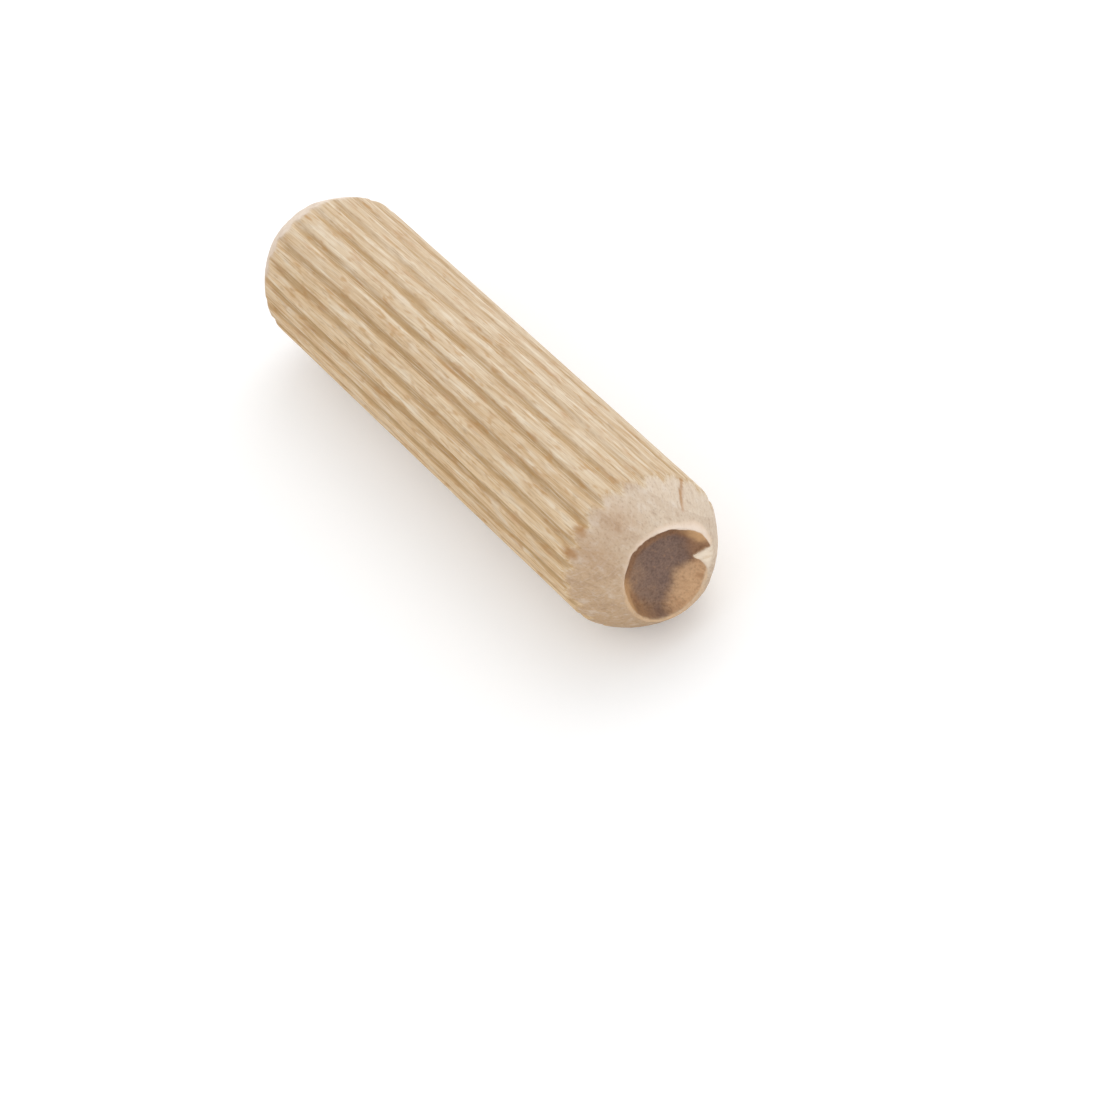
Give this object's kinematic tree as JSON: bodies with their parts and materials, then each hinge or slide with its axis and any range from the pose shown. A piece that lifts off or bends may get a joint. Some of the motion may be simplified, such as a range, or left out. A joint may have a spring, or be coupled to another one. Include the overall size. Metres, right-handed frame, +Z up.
{
  "type": "fluted dowel pin",
  "caption": "Straight fluted wooden dowel pin with rounded ends, the front end torn hollow. Glued into facing holes, it joins two boards and lines them up.",
  "frame": {"origin": "middle of the pin's axis, where the joint between the two boards falls", "axes": "+X along the pin towards its torn front end, +Z up as the pin lies on two of its ribs"},
  "size_m": [0.035, 0.008, 0.008],
  "materials": {
    "beech": "raw, as cut"
  },
  "bodies": {
    "root": {"dowel_pin": "beech"}
  },
  "joints": []
}
